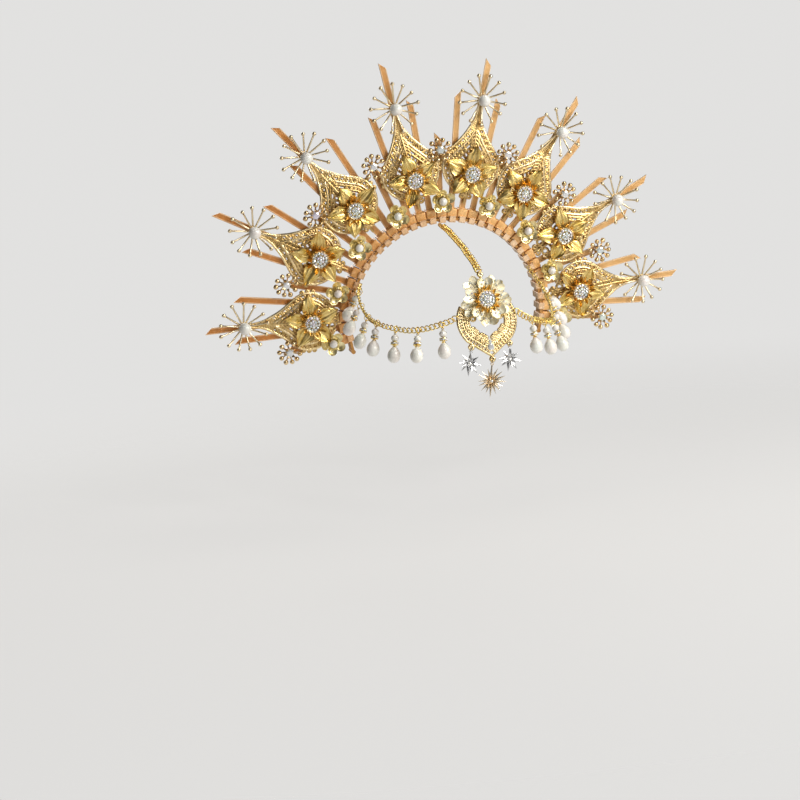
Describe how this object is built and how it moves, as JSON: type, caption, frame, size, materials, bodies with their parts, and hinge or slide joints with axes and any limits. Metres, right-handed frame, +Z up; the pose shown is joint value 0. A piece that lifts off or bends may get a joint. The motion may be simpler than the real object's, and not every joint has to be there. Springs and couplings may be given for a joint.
{
  "type": "halo crown",
  "caption": "Halo headband with radiating ties, gilt filigree plates and flowers, pearl sprays, brow chains with pearl drops and a forehead pendant.",
  "frame": {"origin": "top of the band's inner face, on the halo's middle plane, where the crown sits on the head", "axes": "+Z up, -Y the front that the pendant faces, +X across to the wearer's left; the halo leans forward at the top"},
  "size_m": [0.3696, 0.1231, 0.2381],
  "materials": {
    "band": "flat metal strip with a copper-gold lacquer",
    "strap": "plastic strap sprayed satin copper gold",
    "filigree": "bright gilt pierced stamping",
    "petal": "bright gilt stamped petals with fine veins",
    "wire": "polished pale gilt wire and balls",
    "chain": "polished gilt links",
    "pearl": "warm white imitation pearl, soft gloss",
    "stone": "clear faceted stones with a faint iridescent coat",
    "pale_filigree": "pale gilt pierced stamping with beaded edges",
    "pale_petal": "pale gilt petals dotted with small stones",
    "silver_star": "bright silver plate set with small stones",
    "champagne_star": "champagne gilt rays with a stone centre"
  },
  "bodies": {
    "root": {"headband": "band", "long_ties": "strap", "side_ties": "strap", "short_ties": "strap", "filigree_1": "filigree", "filigree_2": "filigree", "filigree_3": "filigree", "filigree_4": "filigree", "filigree_5": "filigree", "filigree_6": "filigree", "filigree_7": "filigree", "filigree_8": "filigree", "flower_1": "petal", "flower_2": "petal", "flower_3": "petal", "flower_4": "petal", "flower_5": "petal", "flower_6": "petal", "flower_7": "petal", "flower_8": "petal", "flower_stones": "stone", "spray_1": "wire", "spray_2": "wire", "spray_3": "wire", "spray_4": "wire", "spray_5": "wire", "spray_6": "wire", "spray_7": "wire", "spray_8": "wire", "spray_pearls": "pearl", "sprigs": "wire", "sprig_stones": "stone", "rosettes": "petal", "rosette_pearls": "pearl", "brow_chain_left": "chain", "brow_chain_right": "chain", "parting_chain": "chain", "drop_1": "pearl", "drop_2": "pearl", "drop_3": "pearl", "drop_4": "pearl", "drop_5": "pearl", "drop_6": "pearl", "drop_7": "pearl", "drop_8": "pearl", "drop_9": "pearl", "drop_10": "pearl", "drop_11": "pearl", "drop_12": "pearl", "drop_13": "pearl", "drop_beads": "pearl", "drop_rondelles": "stone", "drop_pins": "wire", "pendant_plate": "pale_filigree", "pendant_flower": "pale_petal", "pendant_stones": "stone", "star_left": "silver_star", "star_middle": "champagne_star", "star_right": "silver_star"}
  },
  "joints": []
}
